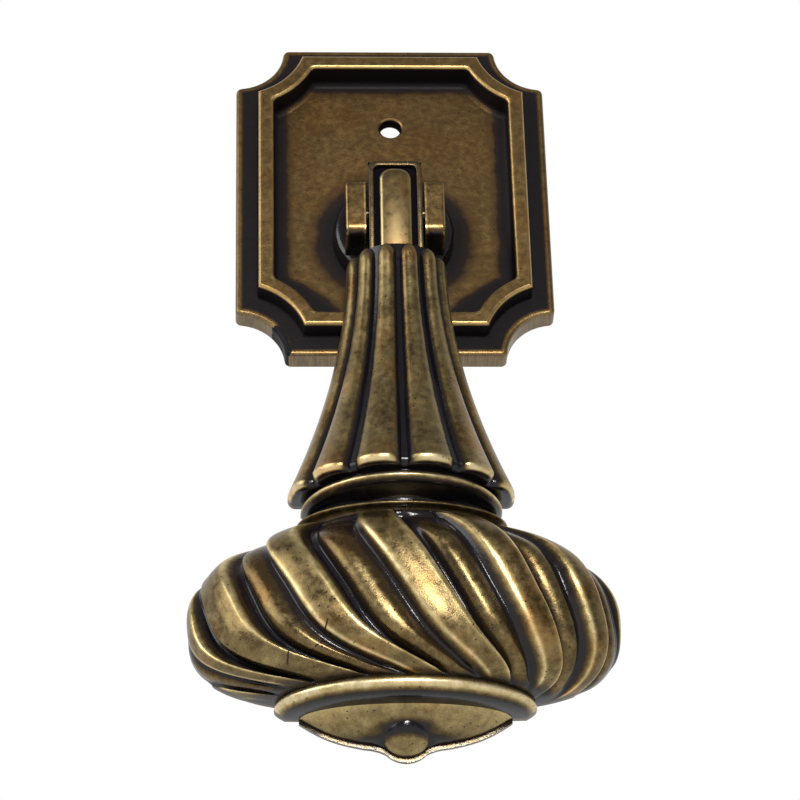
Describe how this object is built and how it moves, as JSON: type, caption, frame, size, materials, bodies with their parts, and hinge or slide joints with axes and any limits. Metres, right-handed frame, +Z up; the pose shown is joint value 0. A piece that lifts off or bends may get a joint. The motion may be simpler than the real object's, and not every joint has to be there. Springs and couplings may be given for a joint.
{
  "type": "drop pull",
  "caption": "Antique brass drop pull for a drawer or small door: a scooped backplate with a hinge post, and a half-round drop with a reeded bell, a collar, a swirled knob and a finial.",
  "frame": {"origin": "the mounting screw's axis where it meets the flat back face that lies on the drawer front", "axes": "+X right, +Y into the drawer front, +Z up; the front faces -Y"},
  "size_m": [0.0447, 0.0146, 0.0896],
  "materials": {
    "plate_brass": "antique, dark in the recesses",
    "post_brass": "antique, mostly dark",
    "pin_brass": "antique",
    "drop_brass": "antique, bright on the crests and dark in the grooves"
  },
  "bodies": {
    "base": {"backplate": "plate_brass", "hinge_post": "post_brass", "hinge_pin": "pin_brass"},
    "pendant": {"drop": "drop_brass"}
  },
  "joints": [
    {"name": "drop_swing", "type": "hinge", "parent": "base", "child": "pendant", "pos_m": [0, -0.0063, 0], "axis": [-1, 0, 0], "range_deg": [0, 52]}
  ]
}
